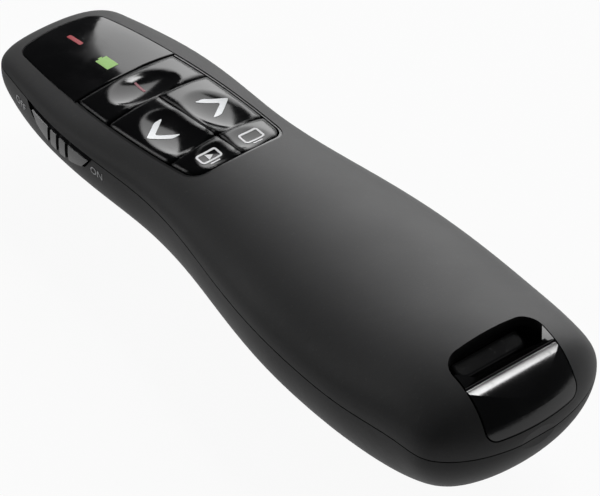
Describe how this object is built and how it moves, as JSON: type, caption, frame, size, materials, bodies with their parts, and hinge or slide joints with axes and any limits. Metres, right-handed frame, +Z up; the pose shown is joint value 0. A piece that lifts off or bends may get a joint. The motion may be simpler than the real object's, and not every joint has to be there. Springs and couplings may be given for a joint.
{
  "type": "wireless presentation clicker",
  "caption": "Hand-held wireless presentation clicker with a glossy key field, side power slide, laser nose and a receiver stowed in its tail.",
  "frame": {"origin": "on the table under the middle of the body", "axes": "+Y towards the laser nose, +X to the right seen from the tail, +Z up through the keys"},
  "size_m": [0.038, 0.1156, 0.0275],
  "materials": {
    "soft_touch": "soft-touch rubberised dark grey paint",
    "inner_plastic": "moulded black ABS",
    "gloss_black": "polished black",
    "satin_black": "satin moulded black",
    "satin_grey": "satin dark grey",
    "clear_guide": "clear moulded acrylic",
    "board_green": "solder mask",
    "chip_black": "moulded epoxy",
    "tin": "bright tin plating",
    "copper": "bare copper foil",
    "brass": "turned brass",
    "gold": "gold plating",
    "lens_glass": "clear polished",
    "lamp_green": "clear green",
    "cell_wrap": "plain printed sleeve",
    "tongue_white": "moulded white"
  },
  "bodies": {
    "handset": {"antenna": "copper", "battery_cradle": "inner_plastic", "board_screw_1": "tin", "board_screw_2": "tin", "board_screw_3": "tin", "board_screw_4": "tin", "bottom_shell": "soft_touch", "cell_left": "cell_wrap", "cell_left_nub": "tin", "cell_right": "cell_wrap", "cell_right_nub": "tin", "contact_left": "tin", "contact_right": "tin", "crystal": "tin", "front_window": "gloss_black", "gauge_lamp": "lamp_green", "key_frame": "gloss_black", "laser_barrel": "brass", "laser_bezel": "gloss_black", "laser_diode": "tin", "laser_lens": "lens_glass", "laser_saddle": "inner_plastic", "laser_switch": "tin", "light_guide": "clear_guide", "main_board": "board_green", "page_back_switch": "tin", "page_forward_switch": "tin", "play_switch": "tin", "power_switch": "tin", "radio_chip": "chip_black", "recess_frame": "inner_plastic", "screen_switch": "tin", "seam_lip": "inner_plastic", "spring_left": "tin", "spring_right": "tin", "top_shell": "soft_touch"},
    "laser_key": {"laser_button": "gloss_black", "laser_stem": "inner_plastic"},
    "page_back_key": {"page_back_button": "gloss_black", "page_back_stem": "inner_plastic"},
    "page_forward_key": {"page_forward_button": "gloss_black", "page_forward_stem": "inner_plastic"},
    "play_key": {"play_button": "gloss_black", "play_stem": "inner_plastic"},
    "screen_key": {"screen_button": "gloss_black", "screen_stem": "inner_plastic"},
    "power_slide": {"power_knob": "satin_grey", "power_lever": "inner_plastic"},
    "battery_door": {"battery_door": "soft_touch"},
    "receiver": {"receiver_base": "satin_black", "receiver_cap": "satin_black", "usb_shell": "tin", "usb_tongue": "tongue_white", "usb_contacts": "gold", "receiver_board": "board_green"}
  },
  "joints": [
    {"name": "laser_press", "type": "slide", "parent": "handset", "child": "laser_key", "axis": [0, 0, -1], "range_m": [0, 0.0006], "stiffness_N_per_m": 900},
    {"name": "page_back_press", "type": "slide", "parent": "handset", "child": "page_back_key", "axis": [0, 0, -1], "range_m": [0, 0.0006], "stiffness_N_per_m": 900},
    {"name": "page_forward_press", "type": "slide", "parent": "handset", "child": "page_forward_key", "axis": [0, 0, -1], "range_m": [0, 0.0006], "stiffness_N_per_m": 900},
    {"name": "play_press", "type": "slide", "parent": "handset", "child": "play_key", "axis": [0, 0, -1], "range_m": [0, 0.0006], "stiffness_N_per_m": 900},
    {"name": "screen_press", "type": "slide", "parent": "handset", "child": "screen_key", "axis": [0, 0, -1], "range_m": [0, 0.0006], "stiffness_N_per_m": 900},
    {"name": "power_switch_slide", "type": "slide", "parent": "handset", "child": "power_slide", "axis": [0, 1, 0], "range_m": [0, 0.002]},
    {"name": "battery_door_lift", "type": "slide", "parent": "handset", "child": "battery_door", "axis": [0, 0, -1], "range_m": [0, 0.03]},
    {"name": "receiver_pull", "type": "slide", "parent": "handset", "child": "receiver", "axis": [0, -1, 0], "range_m": [0, 0.06]}
  ]
}
